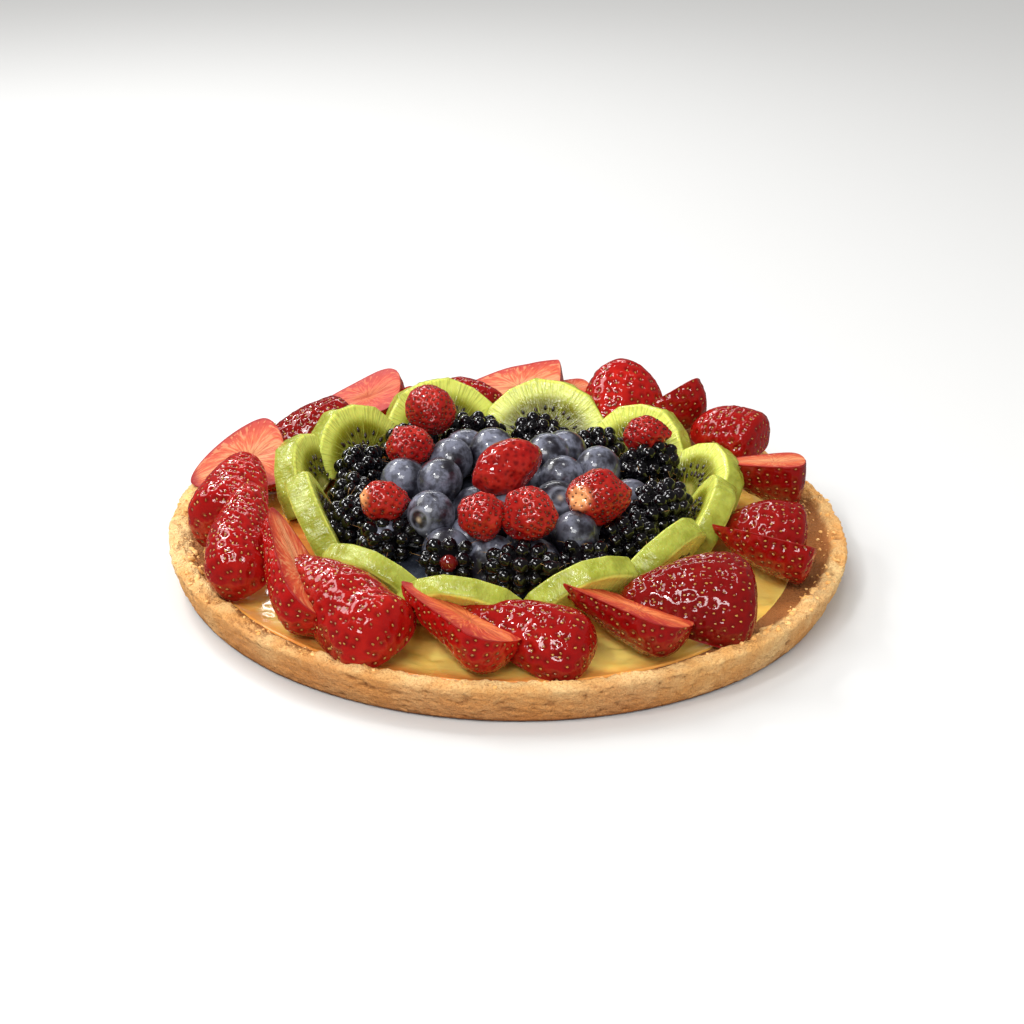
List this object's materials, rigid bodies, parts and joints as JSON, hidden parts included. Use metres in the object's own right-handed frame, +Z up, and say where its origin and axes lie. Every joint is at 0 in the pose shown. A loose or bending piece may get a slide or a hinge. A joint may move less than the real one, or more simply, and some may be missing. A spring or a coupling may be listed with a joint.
{
  "type": "fruit tart",
  "caption": "Round open fruit tart: shortcrust case, custard, a ring of cut strawberries, kiwi half slices, dark brambles and a middle heap of blueberries with wild strawberries.",
  "frame": {"origin": "middle of the flat underside of the crust", "axes": "+Z up out of the filling; -Y towards the side first seen; +X to that side's right"},
  "size_m": [0.2394, 0.2394, 0.0488],
  "materials": {
    "crust": "baked shortcrust, sandy and matt",
    "custard": "custard under a clear glaze",
    "strawberry": "glazed strawberry skin and cut flesh",
    "kiwi": "moist kiwi flesh",
    "bramble": "shiny near-black drupelets",
    "wild_strawberry": "glazed small strawberry with raised seeds",
    "blueberry": "blue-grey bloom over dark skin"
  },
  "bodies": {
    "root": {"crust": "crust", "custard": "custard", "blueberry_heap": "blueberry", "strawberry_1": "strawberry", "strawberry_2": "strawberry", "strawberry_3": "strawberry", "strawberry_4": "strawberry", "strawberry_5": "strawberry", "strawberry_6": "strawberry", "strawberry_7": "strawberry", "strawberry_8": "strawberry", "strawberry_9": "strawberry", "strawberry_10": "strawberry", "strawberry_11": "strawberry", "strawberry_12": "strawberry", "strawberry_13": "strawberry", "strawberry_14": "strawberry", "strawberry_15": "strawberry", "strawberry_16": "strawberry", "strawberry_17": "strawberry", "strawberry_18": "strawberry", "strawberry_19": "strawberry", "strawberry_20": "strawberry", "strawberry_21": "strawberry", "kiwi_1": "kiwi", "kiwi_2": "kiwi", "kiwi_3": "kiwi", "kiwi_4": "kiwi", "kiwi_5": "kiwi", "kiwi_6": "kiwi", "kiwi_7": "kiwi", "kiwi_8": "kiwi", "kiwi_9": "kiwi", "kiwi_10": "kiwi", "kiwi_11": "kiwi", "kiwi_12": "kiwi", "bramble_1": "bramble", "bramble_2": "bramble", "bramble_3": "bramble", "bramble_4": "bramble", "bramble_5": "bramble", "bramble_6": "bramble", "bramble_7": "bramble", "bramble_8": "bramble", "bramble_9": "bramble", "bramble_10": "bramble", "bramble_11": "bramble", "bramble_12": "bramble", "bramble_13": "bramble", "bramble_14": "bramble", "wild_strawberry_1": "wild_strawberry", "wild_strawberry_2": "wild_strawberry", "wild_strawberry_3": "wild_strawberry", "wild_strawberry_4": "wild_strawberry", "wild_strawberry_5": "wild_strawberry", "wild_strawberry_6": "wild_strawberry", "wild_strawberry_7": "wild_strawberry", "wild_strawberry_8": "wild_strawberry"}
  },
  "joints": []
}
